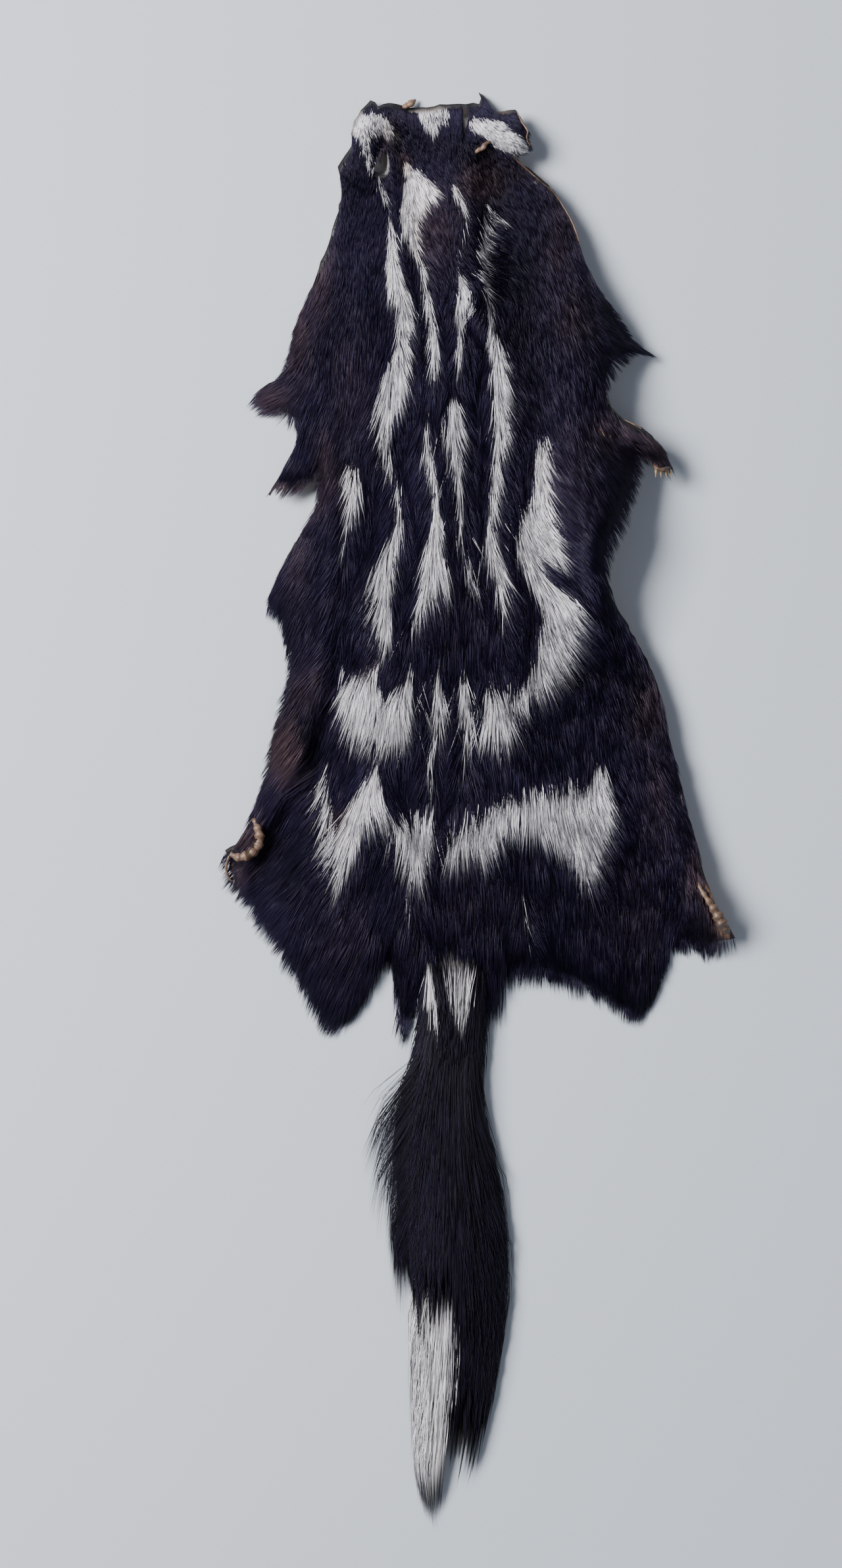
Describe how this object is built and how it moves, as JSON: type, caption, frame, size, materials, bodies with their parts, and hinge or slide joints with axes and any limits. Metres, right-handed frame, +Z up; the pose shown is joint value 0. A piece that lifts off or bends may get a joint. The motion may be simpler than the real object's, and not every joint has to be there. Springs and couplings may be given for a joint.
{
  "type": "spotted skunk pelt",
  "caption": "Dried flat pelt of a spotted skunk, fur side up, black with broken white stripes and a bushy white-tipped tail.",
  "frame": {"origin": "bottom centre of the pelt's box, on the floor it lies on", "axes": "+Y towards the head, +X to the pelt's right as seen from above with the head up, +Z up through the fur"},
  "size_m": [0.1965, 0.5524, 0.0323],
  "materials": {
    "fur_black": "soft black fur with a slight sheen over dried skin",
    "fur_white": "soft off-white fur over dried skin",
    "claw": "smooth translucent brown horn",
    "dried_skin": "stiff tan rawhide, slightly glossy and creased"
  },
  "bodies": {
    "root": {"head_skin": "fur_black", "left_cheek": "fur_white", "right_cheek": "fur_white", "neck": "fur_black", "shoulders": "fur_black", "back": "fur_black", "loin": "fur_black", "rump": "fur_black", "left_foreleg_skin": "fur_black", "left_hindleg_skin": "fur_black", "right_neck_side": "fur_black", "right_breast_skin": "fur_black", "right_foreleg_skin": "fur_black", "right_flank": "fur_black", "right_hindleg_skin": "fur_black", "belly_strip": "fur_black", "tail": "fur_black", "right_claw_1": "claw", "right_claw_2": "claw", "right_claw_3": "claw", "right_claw_4": "claw"}
  },
  "joints": []
}
